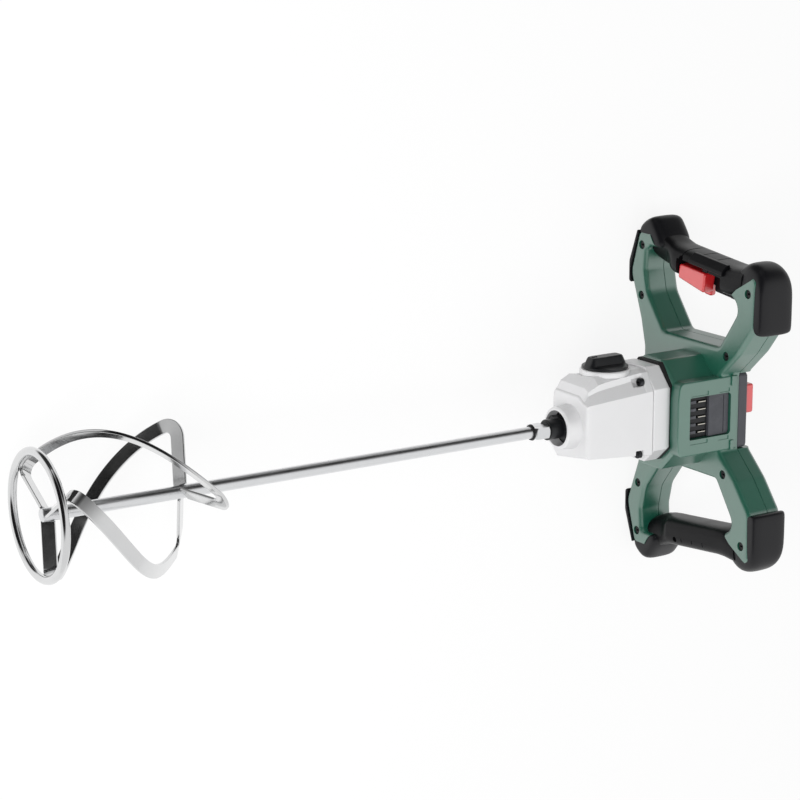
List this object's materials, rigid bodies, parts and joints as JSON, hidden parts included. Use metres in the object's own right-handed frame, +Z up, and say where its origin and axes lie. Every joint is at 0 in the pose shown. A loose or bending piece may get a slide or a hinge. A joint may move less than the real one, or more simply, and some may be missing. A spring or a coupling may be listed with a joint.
{
  "type": "mixing drill",
  "caption": "Cordless mixing drill with two D-shaped handles, a cast gear housing and a ring stirrer with helical blades on a long shaft, for stirring mortar and paint.",
  "frame": {"origin": "on the floor under the middle of the box round the tool, which lies on its left side", "axes": "+X along the shaft from the stirrer to the motor, +Y towards the upper handle with the trigger, +Z up, towards the battery side"},
  "size_m": [0.763, 0.362, 0.2075],
  "materials": {
    "green_plastic": "fine moulded grain",
    "cast_aluminium": "satin die casting",
    "soft_grip": "matt soft moulding",
    "cap_rubber": "satin rubber",
    "stirrer_steel": "polished plating",
    "shaft_steel": "ground",
    "gear_steel": "machined and oiled",
    "bearing_steel": "ground",
    "screw_steel": "dark zinc plating",
    "core_steel": "stacked sheet",
    "winding_copper": "enamelled wire",
    "contact_metal": "tinned",
    "seal_rubber": "matt",
    "black_plastic": "satin moulding",
    "grey_plastic": "satin moulding",
    "red_plastic": "smooth moulding"
  },
  "bodies": {
    "housing": {"front_shell": "green_plastic", "rear_shell": "green_plastic", "gear_housing": "cast_aluminium", "gear_cover": "cast_aluminium", "bearing_plate": "cast_aluminium", "motor_end_bell": "cast_aluminium", "upper_grip_front": "soft_grip", "upper_grip_rear": "soft_grip", "lower_grip_front": "soft_grip", "lower_grip_rear": "soft_grip", "upper_left_cap": "cap_rubber", "upper_right_cap": "cap_rubber", "lower_left_cap": "cap_rubber", "lower_right_cap": "cap_rubber", "shift_rod": "shaft_steel", "spindle_front_bearing": "bearing_steel", "spindle_rear_bearing": "bearing_steel", "layshaft_front_bearing": "bearing_steel", "layshaft_rear_bearing": "bearing_steel", "motor_front_bearing": "bearing_steel", "motor_rear_bearing": "bearing_steel", "gear_housing_screws": "screw_steel", "shell_screws": "screw_steel", "stator_core": "core_steel", "stator_coils": "winding_copper", "terminal_blades": "contact_metal", "spindle_seal": "seal_rubber", "terminal_block": "black_plastic", "bay_plate": "black_plastic", "control_unit": "black_plastic", "switch_module": "black_plastic", "rear_cover": "grey_plastic"},
    "spindle": {"spindle": "shaft_steel", "low_gear": "gear_steel", "stirrer_coupling": "stirrer_steel", "stirrer_rod": "stirrer_steel", "stirrer_ring": "stirrer_steel", "stirrer_blade_1": "stirrer_steel", "stirrer_blade_2": "stirrer_steel", "stirrer_blade_3": "stirrer_steel"},
    "high_gear": {"high_gear": "gear_steel"},
    "sleeve": {"shift_sleeve": "gear_steel"},
    "fork": {"shift_fork": "gear_steel"},
    "layshaft": {"layshaft": "shaft_steel", "low_pinion": "gear_steel", "high_pinion": "gear_steel", "layshaft_gear": "gear_steel"},
    "rotor": {"rotor_shaft": "shaft_steel", "motor_pinion": "gear_steel", "rotor_core": "core_steel", "cooling_fan": "black_plastic"},
    "knob": {"selector_knob": "black_plastic"},
    "trigger": {"trigger": "red_plastic"},
    "lock_button": {"lock_button": "black_plastic"},
    "rear_button": {"rear_button": "red_plastic"}
  },
  "joints": [
    {"name": "spindle_spin", "type": "hinge", "parent": "housing", "child": "spindle", "pos_m": [0.2185, 0, 0.1055], "axis": [1, 0, 0], "continuous": true},
    {"name": "layshaft_spin", "type": "hinge", "parent": "housing", "child": "layshaft", "pos_m": [0.2385, 0.025, 0.1055], "axis": [1, 0, 0], "continuous": true},
    {"name": "rotor_spin", "type": "hinge", "parent": "housing", "child": "rotor", "pos_m": [0.3085, 0, 0.1055], "axis": [1, 0, 0], "continuous": true},
    {"name": "high_gear_spin", "type": "hinge", "parent": "housing", "child": "high_gear", "pos_m": [0.2425, 0, 0.1055], "axis": [1, 0, 0], "continuous": true},
    {"name": "knob_turn", "type": "hinge", "parent": "housing", "child": "knob", "pos_m": [0.22703, 0.0535, 0.1055], "axis": [0, 1, 0], "range_deg": [0, 90]},
    {"name": "fork_shift", "type": "slide", "parent": "housing", "child": "fork", "axis": [1, 0, 0], "range_m": [0, 0.00707]},
    {"name": "sleeve_shift", "type": "slide", "parent": "spindle", "child": "sleeve", "axis": [1, 0, 0], "range_m": [0, 0.00707]},
    {"name": "trigger_pull", "type": "slide", "parent": "housing", "child": "trigger", "axis": [0, 0.9936, 0.1132], "range_m": [0, 0.006], "stiffness_N_per_m": 600, "springref_m": -0.006},
    {"name": "lock_press", "type": "slide", "parent": "housing", "child": "lock_button", "axis": [0, 0.9936, 0.1132], "range_m": [0, 0.0025], "stiffness_N_per_m": 800, "springref_m": -0.003},
    {"name": "rear_button_press", "type": "slide", "parent": "housing", "child": "rear_button", "axis": [-1, 0, 0], "range_m": [0, 0.003], "stiffness_N_per_m": 800, "springref_m": -0.003}
  ],
  "couplings": [
    {"joint": "layshaft_spin", "follows": "spindle_spin", "ratio": -3},
    {"joint": "rotor_spin", "follows": "spindle_spin", "ratio": 12},
    {"joint": "high_gear_spin", "follows": "spindle_spin", "ratio": 1.4444},
    {"joint": "fork_shift", "follows": "knob_turn", "m_per_rad": 0.0045016},
    {"joint": "sleeve_shift", "follows": "knob_turn", "m_per_rad": 0.0045016}
  ]
}
